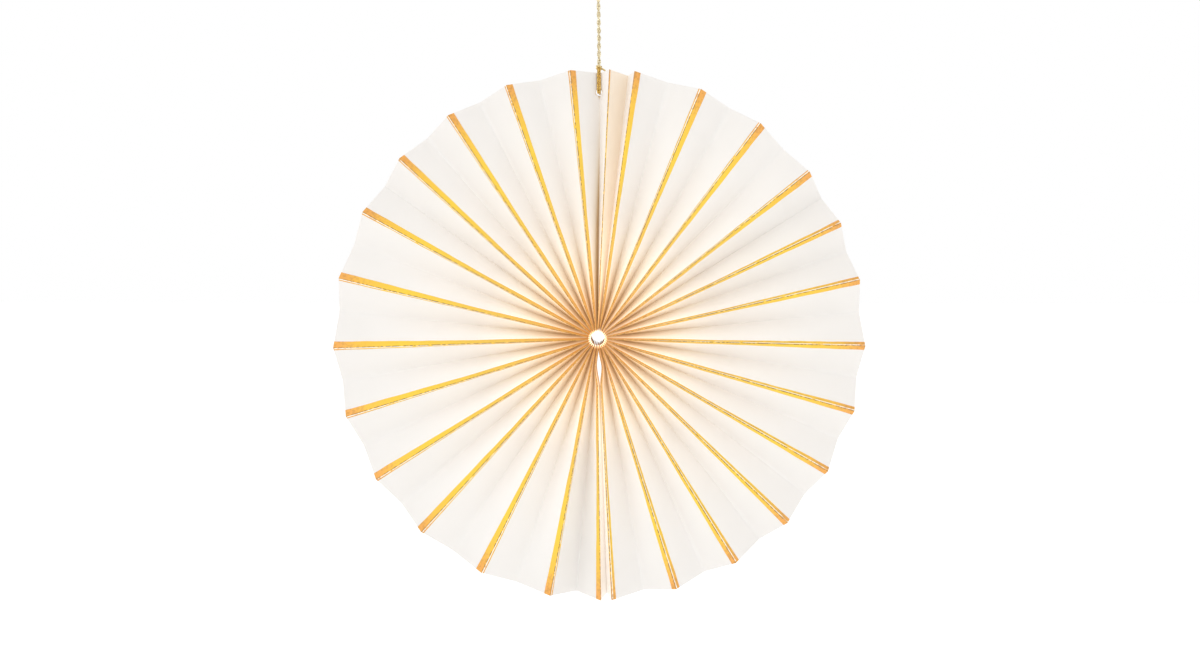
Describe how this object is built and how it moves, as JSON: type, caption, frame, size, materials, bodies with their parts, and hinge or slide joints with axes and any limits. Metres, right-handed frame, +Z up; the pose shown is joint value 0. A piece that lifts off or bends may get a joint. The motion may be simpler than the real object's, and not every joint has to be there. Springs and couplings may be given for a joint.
{
  "type": "paper fan rosette",
  "caption": "hanging paper fan rosette: an accordion-folded white paper disc with gold bands over its front folds, hung from a twisted gold cord",
  "frame": {"origin": "middle of the hub, which is the middle of the disc's box", "axes": "the disc stands in the XZ plane, +Z is up towards the cord, and the front looks along -Y"},
  "size_m": [0.2998, 0.0264, 0.3611],
  "materials": {
    "white_paper": "matte",
    "gold_foil": "satin",
    "clear_tape": "satin",
    "white_thread": "matte",
    "gold_cord": "satin"
  },
  "bodies": {
    "root": {"pleated_paper": "white_paper", "gold_stripes": "gold_foil", "seam_tape": "clear_tape", "gather_thread": "white_thread", "cord_hitch": "gold_cord", "lower_knot": "gold_cord", "knot_tail": "gold_cord", "hanging_cord": "gold_cord", "upper_knot": "gold_cord", "hanging_loop": "gold_cord"}
  },
  "joints": []
}
